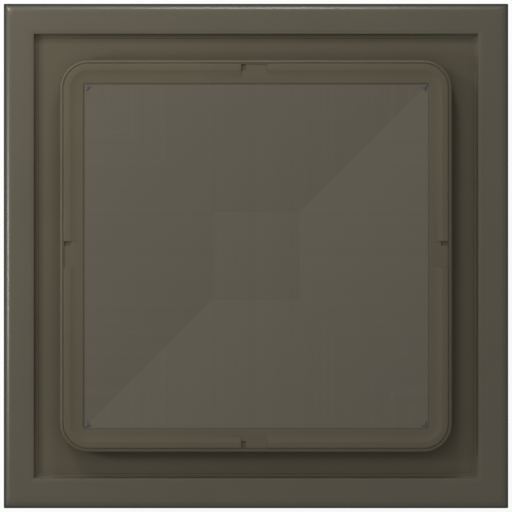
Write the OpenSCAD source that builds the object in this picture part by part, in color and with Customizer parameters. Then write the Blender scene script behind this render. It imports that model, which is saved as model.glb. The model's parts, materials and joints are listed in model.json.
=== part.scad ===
// Roof vent cover for a caravan or motorhome: a 14-inch class vent with a
// raised outer rim, a recessed gutter field and a hinged lid that a crank
// below the ceiling lifts through a worm, a gear and a pair of lift arms.
// The origin is the centre of the roof opening, on the roof surface.
// +Z is up, +Y is the hinge side, and all sizes are millimetres.

/* [Flange and rim] */
// Width of the whole cover across the rim
outer_w = 460; // [456:1:464]
// Width of the raised rim, seen from above
rim_w = 27.4; // [26:0.2:30]
// Height of the rim's top over the roof
rim_top = 10; // [9:0.5:12]
// Thickness of the flange plate
flange_t = 2; // [1.6:0.2:2.4]
// Thickness of the sealing tape under the flange
gasket_t = 1.5; // [1:0.1:2]

/* [Throat] */
// Half-width of the throat's outer face
throat_half = 165; // [164:0.5:166]
// Wall thickness of the throat
throat_t = 2.5; // [2:0.1:3]
// Depth of the throat below the roof surface
throat_depth = 53; // [51:1:55]

/* [Lid] */
// Half-width of the lid across its skirt
lid_half = 178.5; // [178:0.1:179]
// Corner radius of the lid
lid_r = 26; // [24:0.5:28]
// Height of the lid's raised rib over the roof
lid_top = 24; // [23.5:0.1:25]
// Half-width of the square pane
pane_half = 157.3; // [156:0.1:157.3]
// Thickness of the pane
pane_t = 2.5; // [2:0.1:2.8]
// How far the pane's flat centre is sunk below its edge
pane_sink = 3.5; // [2:0.1:3.8]
// Length of the gap in the rib near the middle of each side
rib_gap = 24; // [16:1:40]
// Depth of the small pit at one end of each gap
pit_depth = 1.2; // [0.4:0.1:1.6]

/* [Lid lift] */
// How far the lid opens, in degrees
lid_open = 50; // [30:1:50]

/* [Ceiling side] */
// Half-width of the ceiling garnish
garnish_half = 195; // [190:1:200]
// Radius over the lobes of the crank knob
knob_r = 23; // [20:0.5:26]

/* [Hidden] */
$fn = 64;

// Colours
bronze = [0.36, 0.34, 0.29];
bronze_dark = [0.30, 0.28, 0.23];
smoke = [0.36, 0.34, 0.31];
black = [0.08, 0.08, 0.08];
steel = [0.62, 0.62, 0.60];
nylon = [0.85, 0.84, 0.78];
white = [0.86, 0.85, 0.80];
mesh_grey = [0.35, 0.36, 0.36];

// Flange and rim
outer_half = outer_w / 2;
rim_in = outer_half - rim_w;
flange_half = outer_half - 3;
flange_z = gasket_t;
floor_z = flange_z + flange_t;
trim_t = 2.2;
trim_gap = 0.4;
rim_outer_r = 7;
rim_inner_r = 5;
bead_half = rim_in - 2.4;
bead_w = 1.6;
bead_h = 0.4;
screw_at = outer_half - 15;
screw_step = 72;
screw_hole_r = 2.3;

// Throat
throat_r = 18;
throat_top = 17;
throat_in = throat_half - throat_t;

// Lid levels
skirt_t = 2.5;
skirt_z = 10;
lip_w = 2.1;
groove_w = 1.1;
rib_w = 5.5;
gap_shift = 1.6;
pit_w = 4;
deck_z = lid_top - 2;
deck_under = deck_z - 2.4;
lip_z = lid_top - 0.6;
groove_z = deck_z - 0.8;
skirt_in = lid_half - skirt_t;
rib_out = lid_half - lip_w - groove_w;
rib_in = rib_out - rib_w;
ledge_in = 151;
ledge_t = 1.8;
pane_seal_t = 0.5;
pane_edge_z = deck_z - 0.4;
pane_border = ledge_in;
pane_flat = 40;
ledge_z = pane_edge_z - pane_t - pane_seal_t - ledge_t;

// Hinge
hinge_y = 170;
hinge_z = 14;
hinge_x = 110;
knuckle_r = 3;
hinge_pin_r = 1.5;
run_gap = 0.05;
leaf_t = 1.5;
leaf_w = 36;
leaf_low = -8.5;
leaf_screw_x = 12;
leaf_screw_r = 1.2;
knuckle_w = 12;
knuckle_gap = 0.3;
base_spans = [[-knuckle_w / 2, knuckle_w / 2]];
lid_spans = [[-leaf_w / 2, -knuckle_w / 2 - knuckle_gap], [knuckle_w / 2 + knuckle_gap, leaf_w / 2]];

// Lift linkage. The arm's pivot is as far from the hinge as from the roller,
// so the arm turns exactly twice as far as the lid.
track_slope = 2.2;
arm_lead = 10;
gear_teeth = 24;
gear_module = 1.5;
worm_pitch_r = 6;
gear_pitch_r = gear_module * gear_teeth / 2;
pivot_y = gear_pitch_r + worm_pitch_r;
arm_len = (hinge_y - pivot_y) / cos(track_slope + arm_lead);
pivot_z = hinge_z - arm_len * sin(track_slope + arm_lead);
roller_far = 2 * arm_len * cos(arm_lead);
roller_near = 2 * arm_len * cos(arm_lead + lid_open);
roller_y = hinge_y - roller_far * cos(track_slope);
roller_z = hinge_z - roller_far * sin(track_slope);
roller_r = 4;
track_gap = 0.3;
track_t = 1.7;
track_x = 22.5;
track_w = 12;
arm_x = 17;
arm_t = 4;
shaft_r = 4;
axle_r = 2.5;
axle_end = track_x + track_w - 2.8;
roller_x = arm_x + arm_t + 1.5;
roller_w = 7;

// Worm drive
worm_pitch = PI * gear_module;
backlash = 1.3;
worm_len = 20;
worm_sides = 40;
worm_rings = 50;
gear_w = 8;

// Operator housing
case_half = 15;
case_t = 2.5;
case_floor_t = 3;
case_y0 = -14.5;
case_y1 = pivot_y + gear_pitch_r + gear_module + 4;
case_z0 = pivot_z - gear_pitch_r - gear_module - 4;
case_z1 = pivot_z + gear_pitch_r + gear_module + 3;
case_r = 5;
case_screw_r = 1.4;
case_boss_r = 3.2;
case_in = 4;
case_low = case_z0 + case_in + 1.5;
case_high = case_z1 - case_in;
case_screw_spots = [[case_y0 + case_in, case_high], [case_y1 - case_in, case_high],
    [case_y1 - case_in, case_low], [case_y0 + case_in, case_low]];
bar_t = 2;
bar_z = case_z0 - bar_t;
bar_y0 = -20;
bar_y1 = 56;
bar_tab_z = bar_z + 24;
bar_screw_y = [-10, 46];
bar_screw_z = bar_z + 16;
foot_screw_x = 10;

// Ceiling side
garnish_t = 2;
garnish_z = -64;
tongue_out = 161.8;
garnish_open = 149;
garnish_top = -50;
screen_half = 159;
screen_open = 146;
screen_z = garnish_z + garnish_t;
screen_t = 0.4;
screen_hole_r = 12;
knob_top = -72;
knob_h = 16;
shaft_low = knob_top - knob_h + 4;
shaft_high = case_z1;

// A flat square with round corners, as straight parts and four discs
module round_square(half, r) {
    square([2 * half, 2 * (half - r)], center = true);
    square([2 * (half - r), 2 * half], center = true);
    for (sx = [-1, 1], sy = [-1, 1])
        translate([sx * (half - r), sy * (half - r)]) circle(r = r);
}

// A round-cornered square ring between two half-widths and two heights
module ring(out_half, out_r, in_half, z0, z1) {
    in_r = max(out_r - (out_half - in_half), 0.5);
    translate([0, 0, z0]) linear_extrude(height = z1 - z0) difference() {
        round_square(out_half, out_r);
        round_square(in_half, in_r);
    }
}

// A sharp-cornered square ring
module square_ring(out_half, in_half, z0, z1) {
    translate([0, 0, z0]) linear_extrude(height = z1 - z0) difference() {
        square(2 * out_half, center = true);
        square(2 * in_half, center = true);
    }
}

// Carries a profile, drawn as distance out and height, round a mitred square
module mitred(half) {
    reach = half + 1;
    for (a = [0:90:270]) rotate(a) intersection() {
        rotate([90, 0, 0]) linear_extrude(height = 2 * reach, center = true) children();
        linear_extrude(height = 100, center = true)
            polygon([[0, 0], [reach, -reach], [reach, reach]]);
    }
}

// Points of an arc about c, from angle a0 to a1
function arc(c, r, a0, a1, n = 8) =
    [for (i = [0:n]) c + r * [cos(a0 + (a1 - a0) * i / n), sin(a0 + (a1 - a0) * i / n)]];

// Section of a strip with rounded top edges, its inner side down to z_in
module strip(in_half, out_half, z_in, z_out, top, r_in, r_out) {
    polygon(concat([[in_half, z_in]],
        arc([in_half + r_in, top - r_in], r_in, 180, 90),
        arc([out_half - r_out, top - r_out], r_out, 90, 0),
        [[out_half, z_out], [(in_half + out_half) / 2, z_out], [(in_half + out_half) / 2, z_in]]));
}

// The twelve places where the flange is screwed to the roof
module at_roof_screws() {
    spots = [[screw_at, screw_at], [screw_step, screw_at], [screw_at, screw_step]];
    for (s = spots, sx = [-1, 1], sy = [-1, 1]) translate([sx * s.x, sy * s.y]) children();
}

module at_hinges() {
    for (s = [-1, 1]) translate([s * hinge_x, hinge_y, hinge_z]) children();
}

// Puts children at both sides, the left one mirrored
module both_sides() {
    children();
    mirror([1, 0, 0]) children();
}

// A rod along X between two places, at a point of the YZ plane
module rod_x(x0, x1, y, z, r) {
    translate([x0, y, z]) rotate([0, 90, 0]) cylinder(r = r, h = x1 - x0);
}

// ---------------------------------------------------------------- base

// Flange plate, the low bead inside the rim, and the throat, in one moulding
module base_frame() {
    color(bronze_dark) difference() {
        union() {
            translate([0, 0, flange_z]) linear_extrude(height = flange_t)
                square(2 * flange_half, center = true);
            square_ring(bead_half, bead_half - bead_w, floor_z - 1, floor_z + bead_h);
            translate([0, 0, -throat_depth]) linear_extrude(height = throat_depth + throat_top)
                round_square(throat_half, throat_r);
        }
        translate([0, 0, -throat_depth - 1])
            linear_extrude(height = throat_depth + throat_top + 2)
                round_square(throat_in, throat_r - throat_t);
        translate([0, 0, flange_z - 1]) at_roof_screws()
            cylinder(r = screw_hole_r, h = flange_t + 2);
        at_crossbar_screws() translate([0, 0, -1]) cylinder(r = 2, h = throat_t + 2);
    }
}

module flange_gasket() {
    color(black) difference() {
        square_ring(flange_half - 1, throat_half + 2, 0, gasket_t);
        translate([0, 0, -1]) at_roof_screws() cylinder(r = screw_hole_r, h = gasket_t + 2);
    }
}

// Hollow trim that pushes over the flange's edge and hides the roof screws
module rim_trim() {
    drain_w = 24;
    drain_h = 1.2;
    color(bronze) difference() {
        mitred(outer_half) difference() {
            strip(rim_in, outer_half, floor_z, trim_gap, rim_top, rim_inner_r, rim_outer_r);
            strip(rim_in + trim_t, outer_half - trim_t, floor_z - 5, trim_gap - 5,
                rim_top - trim_t, rim_inner_r - trim_t, rim_outer_r - trim_t);
        }
        for (a = [0:90:270]) rotate(a) {
            translate([rim_in - 1, -drain_w / 2, floor_z - 1])
                cube([trim_t + 2, drain_w, drain_h + 1]);
            translate([outer_half - trim_t - 1, -drain_w / 2, floor_z])
                cube([trim_t + 2, drain_w, drain_h]);
        }
    }
}

// Blocks that stand on the flange and grip the inside of the trim
module trim_clips() {
    clip_l = 16;
    clip_in = rim_in + trim_t;
    clip_w = 14;
    step = 140;
    color(black) for (a = [0:90:270], i = [-1:1]) rotate(a)
        translate([clip_in + 3, i * step - clip_l / 2, floor_z]) difference() {
            cube([clip_w, clip_l, rim_top - trim_t - floor_z]);
            translate([4, -1, -1]) cube([clip_w - 8, clip_l + 2, 3]);
        }
}

// Bulb seal pushed onto the top edge of the throat
module lid_seal() {
    seal_z = 14.5;
    bulb_h = 1.8;
    color(black) difference() {
        ring(throat_half + 1.5, throat_r + 1.5, throat_in - 1.5, seal_z, throat_top + bulb_h);
        ring(throat_half, throat_r, throat_in, seal_z - 1, throat_top);
    }
}

// A row of hinge knuckles along X, about the hinge axis
module knuckles(spans) {
    for (s = spans) rod_x(s[0], s[1], 0, 0, knuckle_r);
}

module base_hinge_leaves() {
    leaf_y = throat_half - hinge_y;
    color(steel) at_hinges() difference() {
        union() {
            translate([-leaf_w / 2, leaf_y, leaf_low]) cube([leaf_w, leaf_t, -leaf_low - 0.5]);
            translate([-knuckle_w / 2, leaf_y, -4]) cube([knuckle_w, -leaf_y, 3.5]);
            knuckles(base_spans);
        }
        rod_x(-knuckle_w, knuckle_w, 0, 0, hinge_pin_r);
        for (s = [-1, 1]) translate([s * leaf_screw_x, leaf_y - 1, leaf_low + 2.8])
            rotate([-90, 0, 0]) cylinder(r = leaf_screw_r, h = leaf_t + 2);
    }
}

module hinge_pins() {
    color(steel) at_hinges() rod_x(-leaf_w / 2 - 1, leaf_w / 2 + 1, 0, 0, hinge_pin_r);
}

module base_leaf_screws() {
    leaf_y = throat_half - hinge_y;
    color(steel) at_hinges() for (s = [-1, 1])
        translate([s * leaf_screw_x, leaf_y + leaf_t, leaf_low + 2.8]) rotate([-90, 0, 0]) {
            cylinder(r = 2.2, h = 1);
            translate([0, 0, -leaf_t]) cylinder(r = leaf_screw_r, h = leaf_t);
        }
}

// Points children outward at the four crossbar screws, from the throat's inner face
module at_crossbar_screws() {
    for (a = [0, 1], y = bar_screw_y) mirror([a, 0, 0])
        translate([throat_in, y, bar_screw_z]) rotate([0, 90, 0]) children();
}

// Bar across the throat that carries the operator
module operator_crossbar() {
    lip = 6;
    len = bar_y1 - bar_y0;
    end = throat_in;
    color(steel) difference() {
        union() {
            translate([-end, bar_y0, bar_z]) cube([2 * end, len, bar_t]);
            for (y = [bar_y0, bar_y1 - bar_t])
                translate([-end, y, bar_z - lip]) cube([2 * end, bar_t, lip]);
            both_sides() translate([end - bar_t, bar_y0, bar_z])
                cube([bar_t, len, bar_tab_z - bar_z]);
        }
        translate([0, 0, bar_z - 1]) cylinder(r = 8, h = bar_t + 2);
        for (x = [-60, -105, 60, 105])
            translate([x, (bar_y0 + bar_y1) / 2, bar_z - 1]) cylinder(r = 16, h = bar_t + 2);
        at_crossbar_screws() translate([0, 0, -bar_t - 1]) cylinder(r = 2, h = bar_t + 2);
        at_housing_screws() translate([0, 0, -1]) cylinder(r = case_screw_r, h = bar_t + 2);
    }
}

module crossbar_screws() {
    color(steel) at_crossbar_screws() {
        translate([0, 0, -bar_t]) cylinder(r = 1.9, h = bar_t + throat_t + 1);
        translate([0, 0, -bar_t - 2]) cylinder(r = 4, h = 2);
    }
}

// ------------------------------------------------------------ operator

// Outline of the operator's case in the YZ plane, inset by a margin
module case_outline(inset) {
    y0 = case_y0 + inset;
    z0 = case_z0 + (inset > 0 ? case_floor_t : 0);
    y1 = case_y1 - inset;
    z1 = case_z1 - inset;
    r = max(case_r - inset, 1);
    translate([y0 + r, z0]) square([y1 - y0 - 2 * r, z1 - z0]);
    translate([y0, z0 + r]) square([y1 - y0, z1 - z0 - 2 * r]);
    for (y = [y0 + r, y1 - r], z = [z0 + r, z1 - r]) translate([y, z]) circle(r = r);
}

// Draws a YZ outline and extrudes it along X
module along_x(x0, x1) {
    translate([x0, 0, 0]) rotate([90, 0, 90]) linear_extrude(height = x1 - x0) children();
}

// One half of the case, split on the YZ plane: side is 1 for +X and -1 for -X
module case_half_shell(side) {
    mirror([side < 0 ? 1 : 0, 0, 0]) difference() {
        union() {
            difference() {
                along_x(0, case_half) case_outline(0);
                along_x(-1, case_half - case_t) case_outline(case_t);
            }
            for (s = case_screw_spots) rod_x(0, case_half - 1, s[0], s[1], case_boss_r);
            rod_x(case_half - case_t - 3, case_half, pivot_y, pivot_z, 8);
        }
        rod_x(-1, case_half + 1, pivot_y, pivot_z, shaft_r + 2);
        translate([0, 0, case_z0 - 1]) cylinder(r = shaft_r + 2, h = case_floor_t + 2);
        translate([0, 0, case_z1 - case_t - 1]) cylinder(r = shaft_r + 2, h = case_t + 2);
        for (s = case_screw_spots) rod_x(-1, case_half + 1, s[0], s[1], case_screw_r);
        at_housing_screws() cylinder(r = case_screw_r, h = case_floor_t + bar_t + 1);
        if (side > 0) for (s = case_screw_spots)
            rod_x(case_half - 2, case_half + 1, s[0], s[1], case_boss_r - 0.6);
    }
}

// The four screws up through the crossbar into the case floor
module at_housing_screws() {
    for (x = [-foot_screw_x, foot_screw_x], y = [case_y0 + 9, case_y1 - 9])
        translate([x, y, bar_z]) children();
}

module operator_housing() {
    color(white) case_half_shell(-1);
}

module operator_cover() {
    color(white) case_half_shell(1);
}

module operator_screws() {
    color(steel) for (s = case_screw_spots) {
        rod_x(-case_half + 3, case_half - 2, s[0], s[1], case_screw_r);
        rod_x(case_half - 2, case_half - 0.2, s[0], s[1], case_boss_r - 0.7);
    }
}

module housing_screws() {
    color(steel) at_housing_screws() {
        translate([0, 0, -1.6]) cylinder(r = 2.8, h = 1.6);
        cylinder(r = case_screw_r, h = bar_t + case_floor_t);
    }
}

// Plain bushes for the upright worm shaft
module worm_bushes() {
    color(nylon) {
        for (z = [[case_z0, case_floor_t], [case_z1 - case_t, case_t]])
            translate([0, 0, z[0]]) difference() {
                cylinder(r = shaft_r + 2, h = z[1]);
                translate([0, 0, -1]) cylinder(r = shaft_r + run_gap, h = z[1] + 2);
            }
    }
}

// Plain bushes for the level arm shaft
module shaft_bushes() {
    color(nylon) both_sides() difference() {
        rod_x(case_half - case_t - 3, case_half + 1, pivot_y, pivot_z, shaft_r + 2);
        rod_x(0, case_half + 2, pivot_y, pivot_z, shaft_r + run_gap);
    }
}

// --------------------------------------------------------- ceiling side

module screen_frame() {
    color(white) difference() {
        ring(screen_half, 14, screen_open, screen_z, screen_z + 5);
        ring(screen_half - 3, 11, screen_open - 1, screen_z + 2, screen_z + 2 + screen_t);
    }
}

module insect_screen() {
    color(mesh_grey) translate([0, 0, screen_z + 2]) linear_extrude(height = screen_t) difference() {
        round_square(screen_half - 3, 11);
        circle(r = screen_hole_r);
    }
}

// Ring that lines the hole where the crank passes the screen
module screen_grommet() {
    color(white) translate([0, 0, screen_z + 2]) difference() {
        union() {
            translate([0, 0, -1.2]) cylinder(r = screen_hole_r + 3, h = 1.2);
            translate([0, 0, screen_t]) cylinder(r = screen_hole_r + 3, h = 1.2);
            cylinder(r = screen_hole_r, h = screen_t);
        }
        translate([0, 0, -2]) cylinder(r = screen_hole_r - 3, h = 5);
    }
}

// Ceiling trim with a low ring that seats the screen frame, and four straight
// tongues that slide up into the throat
module ceiling_garnish() {
    hole_at = garnish_half - 12;
    tongue_in = screen_half + 0.4;
    tongue_l = 2 * (tongue_out - 16);
    color(white) difference() {
        union() {
            ring(garnish_half, 20, garnish_open, garnish_z, garnish_z + garnish_t);
            ring(tongue_out, 16, tongue_in, garnish_z, garnish_z + garnish_t + 4.5);
            for (a = [0:90:270]) rotate(a) translate([tongue_in, -tongue_l / 2, garnish_z])
                cube([tongue_out - tongue_in, tongue_l, garnish_top - garnish_z]);
        }
        for (sx = [-1, 1], sy = [-1, 1]) translate([sx * hole_at, sy * hole_at, garnish_z - 1])
            cylinder(r = screw_hole_r, h = garnish_t + 2);
    }
}

// ----------------------------------------------------------------- lid

// Turns and mirrors children so that +Y points to the gap's end with the pit
module at_rib_gaps() {
    for (a = [0:90:270]) rotate(a) mirror([0, a > 90 ? 1 : 0, 0]) children();
}

// Moulded frame of the lid: skirt, deck, lip, ribs and the ledge for the pane
module lid_frame() {
    opening = pane_half + 0.2;
    wall = 2;
    color(bronze) difference() {
        union() {
            ring(lid_half, lid_r, skirt_in, skirt_z, deck_under);
            translate([0, 0, deck_under]) linear_extrude(height = deck_z - deck_under)
                round_square(lid_half, lid_r);
            ring(lid_half, lid_r, lid_half - lip_w, deck_z, lip_z);
            difference() {
                ring(rib_out, lid_r - lip_w - groove_w, rib_in, deck_z, lid_top);
                at_rib_gaps() translate([rib_in - 1, gap_shift - rib_gap / 2, deck_z - 1])
                    cube([rib_w + 2, rib_gap, lid_top]);
            }
            translate([0, 0, ledge_z]) linear_extrude(height = deck_under - ledge_z)
                round_square(opening + wall, throat_r - wall);
        }
        ring(lid_half - lip_w, lid_r - lip_w, rib_out, groove_z, lid_top + 1);
        at_rib_gaps() translate([rib_in, gap_shift + rib_gap / 2 - pit_w, deck_z - pit_depth])
            cube([rib_w, pit_w, lid_top]);
        translate([0, 0, ledge_z + ledge_t]) linear_extrude(height = 20)
            square(2 * opening, center = true);
        translate([0, 0, ledge_z - 1]) linear_extrude(height = 20)
            square(2 * ledge_in, center = true);
    }
}

// Square corners at a height, for the pane's levels
function level(half, z) = [[-half, -half, z], [half, -half, z], [half, half, z], [-half, half, z]];

// Pane with a flat edge, four sloping facets and a flat sunken centre
module lid_pane() {
    low = pane_edge_z - pane_t;
    points = concat(
        level(pane_half, pane_edge_z), level(pane_border, pane_edge_z),
        level(pane_flat, pane_edge_z - pane_sink),
        level(pane_half, low), level(pane_border, low), level(pane_flat, low - pane_sink));
    sides = [for (i = [0:3]) [i, (i + 1) % 4]];
    faces = concat(
        [for (s = sides, k = [0, 4]) [k + s[1], k + s[0], k + 4 + s[0], k + 4 + s[1]]],
        [for (s = sides, k = [12, 16]) [k + s[0], k + s[1], k + 4 + s[1], k + 4 + s[0]]],
        [for (s = sides) [s[0], s[1], 12 + s[1], 12 + s[0]]],
        [[11, 10, 9, 8], [20, 21, 22, 23]]);
    color(smoke) polyhedron(points = points, faces = faces);
}

module pane_seal() {
    low = ledge_z + ledge_t;
    color(black) translate([0, 0, low]) linear_extrude(height = pane_seal_t) difference() {
        round_square(pane_half, 14);
        square(2 * ledge_in, center = true);
    }
}

// Small three-cornered clips near the pane's corners, each with one point outward
module corner_clips() {
    clip_r = 3.9;
    set_in = 3.7;
    color(black) for (a = [0:90:270]) rotate(a)
        translate([pane_half - set_in, pane_half - set_in, pane_edge_z])
            linear_extrude(height = 0.6)
                polygon([for (b = [45, 165, 285]) clip_r * [cos(b), sin(b)]]);
}

module lid_hinge_leaves() {
    out = skirt_in - hinge_y;
    top = deck_under - hinge_z;
    color(steel) at_hinges() difference() {
        union() {
            translate([-leaf_w / 2, out - leaf_t, -3]) cube([leaf_w, leaf_t, top + 3]);
            for (s = lid_spans) translate([s[0], 0, -1.2]) cube([s[1] - s[0], out - 0.5, 2.4]);
            knuckles(lid_spans);
        }
        rod_x(-leaf_w, leaf_w, 0, 0, hinge_pin_r + run_gap);
        for (s = [-1, 1]) translate([s * leaf_screw_x, out - leaf_t - 1, top - 2.4])
            rotate([-90, 0, 0]) cylinder(r = leaf_screw_r, h = leaf_t + 2);
    }
}

module lid_leaf_screws() {
    out = skirt_in - hinge_y;
    top = deck_under - hinge_z;
    color(steel) at_hinges() for (s = [-1, 1])
        translate([s * leaf_screw_x, out - leaf_t, top - 2.4]) rotate([-90, 0, 0]) {
            translate([0, 0, -0.8]) cylinder(r = 2, h = 0.8);
            cylinder(r = leaf_screw_r, h = leaf_t);
        }
}

// Height of the pane's underside on the Y axis
function pane_under(y) = pane_edge_z - pane_t
    - pane_sink * min(1, (pane_border - abs(y)) / (pane_border - pane_flat));

// A place on the track's centre line, by distance from the hinge and height over the line
function on_track(s, h) = [hinge_y - s * cos(track_slope) - h * sin(track_slope),
    hinge_z - s * sin(track_slope) + h * cos(track_slope)];

// C-shaped guides under the pane, open towards the arms
module lift_tracks() {
    half_in = roller_r + track_gap;
    half_out = half_in + track_t;
    s0 = roller_near - roller_r - 4;
    s1 = roller_far + roller_r + 4;
    near = on_track(s0, half_in);
    far = on_track(s1, half_in);
    low_near = on_track(s0, -half_out);
    low_far = on_track(s1, -half_out);
    color(steel) both_sides() difference() {
        along_x(track_x, track_x + track_w) polygon([low_near, near,
            [near.x, pane_under(near.x)], [-pane_flat, pane_under(-pane_flat)],
            [far.x, pane_under(far.x)], far, low_far]);
        along_x(track_x - 1, track_x + track_w - 2) polygon([
            on_track(s0 + 2, -half_in), on_track(s0 + 2, half_in),
            on_track(s1 - 2, half_in), on_track(s1 - 2, -half_in)]);
    }
}

// ---------------------------------------------------------------- lift

module arm_shaft() {
    color(steel) rod_x(-arm_x - arm_t - 2, arm_x + arm_t + 2, pivot_y, pivot_z, shaft_r);
}

// Gear blank outline: straight-sided teeth about the origin, one on the +X axis
module gear_outline() {
    tooth = worm_pitch / 2 - backlash / 2;
    lean = gear_module * tan(20);
    root_r = gear_pitch_r - 1.2 * gear_module;
    tip_r = gear_pitch_r + 0.9 * gear_module;
    circle(r = root_r);
    for (i = [0:gear_teeth - 1]) rotate(i * 360 / gear_teeth) polygon([
        [root_r - 1, -tooth / 2 - 1.2 * lean], [tip_r, -tooth / 2 + 0.9 * lean],
        [tip_r, tooth / 2 - 0.9 * lean], [root_r - 1, tooth / 2 + 1.2 * lean]]);
}

module worm_gear() {
    lead_angle = atan(worm_pitch / (2 * PI * worm_pitch_r));
    slant = gear_w * tan(lead_angle) / gear_pitch_r * 180 / PI;
    color(nylon) translate([0, pivot_y, pivot_z]) difference() {
        union() {
            rotate([90, 0, -90]) linear_extrude(height = gear_w, center = true,
                twist = -slant, slices = 4, $fn = 96) gear_outline();
            rod_x(-case_half + case_t + 3.5, case_half - case_t - 3.5, 0, 0, 8);
        }
        rod_x(-case_half, case_half, 0, 0, shaft_r + 0.02);
    }
}

// Flat lever from the arm shaft to the roller axle
module lever(x0, x1) {
    hub_r = 10;
    tip_r = 6;
    d = [roller_y - pivot_y, roller_z - pivot_z] / arm_len;
    n = [-d.y, d.x];
    p = [pivot_y, pivot_z];
    q = [roller_y, roller_z];
    difference() {
        union() {
            along_x(x0, x1) polygon([p + n * (hub_r - 1), q + n * (tip_r - 1),
                q - n * (tip_r - 1), p - n * (hub_r - 1)]);
            rod_x(x0, x1, p.x, p.y, hub_r);
            rod_x(x0, x1, q.x, q.y, tip_r);
        }
        rod_x(x0 - 1, x1 + 1, p.x, p.y, shaft_r);
        rod_x(x0 - 1, x1 + 1, q.x, q.y, axle_r);
        for (i = [0.32, 0.52, 0.72])
            rod_x(x0 - 1, x1 + 1, p.x + d.x * i * arm_len, p.y + d.y * i * arm_len, 3.5);
    }
}

module lift_arms() {
    color(steel) both_sides() lever(arm_x, arm_x + arm_t);
}

// Push-on retaining rings outside the arms
module arm_clips() {
    color(black) both_sides() difference() {
        rod_x(arm_x + arm_t, arm_x + arm_t + 1, pivot_y, pivot_z, 6.5);
        rod_x(arm_x, arm_x + arm_t + 2, pivot_y, pivot_z, shaft_r);
    }
}

module roller_axle() {
    color(steel) rod_x(-axle_end, axle_end, roller_y, roller_z, axle_r);
}

module axle_clips() {
    color(black) both_sides() difference() {
        rod_x(roller_x + roller_w + 0.3, roller_x + roller_w + 1, roller_y, roller_z, 3.6);
        rod_x(roller_x, axle_end + 1, roller_y, roller_z, axle_r);
    }
}

module rollers() {
    color(nylon) both_sides() difference() {
        rod_x(roller_x, roller_x + roller_w, roller_y, roller_z, roller_r);
        rod_x(roller_x - 1, roller_x + roller_w + 1, roller_y, roller_z, axle_r + run_gap);
    }
}

// --------------------------------------------------------------- crank

module crank_shaft() {
    color(steel) translate([0, 0, shaft_low]) difference() {
        cylinder(r = shaft_r, h = shaft_high - shaft_low);
        translate([0, 0, -1]) cylinder(r = 1.3, h = 11);
    }
}

// Depth of the thread at a fraction of its pitch: 0 in the gap, 1 on the crest
function thread_rise(u) = let (v = abs(u - floor(u) - 0.5) * worm_pitch,
    crest = (worm_pitch / 2 - backlash / 2) / 2 - gear_module * tan(20),
    foot = (worm_pitch / 2 - backlash / 2) / 2 + gear_module * tan(20))
    v < crest ? 1 : v > foot ? 0 : (foot - v) / (foot - crest);

// Radius of the worm at an angle and a height over the gear's centre
function worm_radius(a, z) = worm_pitch_r - gear_module
    + 2 * gear_module * thread_rise((z - worm_pitch * (a - 90) / 360) / worm_pitch);

// Right-handed worm: rings of points up the thread and back down the bore
module worm() {
    bore_r = (shaft_r + 0.05) / cos(180 / worm_sides);
    z_at = [for (i = [0:worm_rings]) -worm_len / 2 + worm_len * i / worm_rings];
    a_at = [for (j = [0:worm_sides - 1]) 360 * j / worm_sides];
    outside = [for (z = z_at) [for (a = a_at)
        let (r = worm_radius(a, z)) [r * cos(a), r * sin(a), z]]];
    bore = [for (z = [worm_len / 2, -worm_len / 2]) [for (a = a_at)
        [bore_r * cos(a), bore_r * sin(a), z]]];
    rings = concat(outside, bore);
    n = len(rings);
    faces = [for (i = [0:n - 1], j = [0:worm_sides - 1]) each
        let (k = (i + 1) % n, m = (j + 1) % worm_sides,
            p = i * worm_sides + j, q = i * worm_sides + m,
            s = k * worm_sides + m, t = k * worm_sides + j)
        [[p, t, q], [q, t, s]]];
    color(steel) translate([0, 0, pivot_z])
        polyhedron(points = [for (r = rings) each r], faces = faces);
}

module thrust_washers() {
    top_gap = case_z1 - case_t;
    low_gap = case_z0 + case_floor_t;
    color(steel) for (z = [low_gap + 0.1, top_gap - 1.1]) translate([0, 0, z]) difference() {
        cylinder(r = 6.5, h = 1);
        translate([0, 0, -1]) cylinder(r = shaft_r, h = 3);
    }
}

// Six-lobed knob for fingers, with a hub that reaches up the shaft
module crank_knob() {
    lobes = 6;
    lobe_r = 6;
    color(black) translate([0, 0, knob_top - knob_h]) difference() {
        union() {
            cylinder(r = knob_r - lobe_r, h = knob_h);
            for (i = [0:lobes - 1]) rotate(i * 360 / lobes)
                translate([knob_r - lobe_r, 0, 0]) cylinder(r = lobe_r, h = knob_h);
            cylinder(r = 8, h = knob_h + 4);
        }
        translate([0, 0, 4]) cylinder(r = shaft_r, h = knob_h + 2);
        translate([0, 0, -1]) cylinder(r = 4.2, h = 4);
        cylinder(r = 1.7, h = 5);
    }
}

module knob_screw() {
    color(steel) translate([0, 0, knob_top - knob_h]) {
        translate([0, 0, 0.6]) cylinder(r = 3.4, h = 2.4);
        translate([0, 0, 3]) cylinder(r = 1.3, h = 9);
    }
}

base_frame();
flange_gasket();
rim_trim();
trim_clips();
lid_seal();
base_hinge_leaves();
hinge_pins();
base_leaf_screws();
operator_crossbar();
crossbar_screws();
operator_housing();
operator_cover();
operator_screws();
housing_screws();
worm_bushes();
shaft_bushes();
screen_frame();
insect_screen();
screen_grommet();
ceiling_garnish();
lid_frame();
lid_pane();
pane_seal();
corner_clips();
lid_hinge_leaves();
lid_leaf_screws();
lift_tracks();
arm_shaft();
worm_gear();
lift_arms();
arm_clips();
roller_axle();
axle_clips();
rollers();
crank_shaft();
worm();
thrust_washers();
crank_knob();
knob_screw();
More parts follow.
